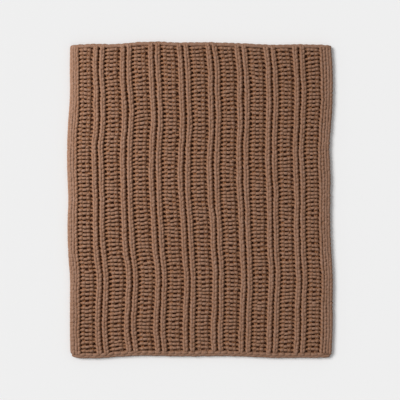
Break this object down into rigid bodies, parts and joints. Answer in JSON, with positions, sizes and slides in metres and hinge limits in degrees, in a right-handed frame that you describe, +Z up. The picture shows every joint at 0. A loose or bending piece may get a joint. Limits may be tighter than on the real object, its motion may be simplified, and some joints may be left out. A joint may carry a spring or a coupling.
{
  "type": "chunky knit throw blanket",
  "caption": "Thick ribbed knit throw blanket lying flat, with rolled knit sides and corded ends, for a bed, sofa or chair.",
  "frame": {"origin": "on the flat underside, at the middle of the blanket's box", "axes": "+X across the ribs, +Y along the ribs towards the bind-off end, +Z up out of the blanket's face"},
  "size_m": [1.2876, 1.535, 0.0278],
  "materials": {
    "chenille_yarn": "warm brown chenille yarn, matt with a soft velvety pile"
  },
  "bodies": {
    "root": {"knit_blanket": "chenille_yarn"}
  },
  "joints": []
}
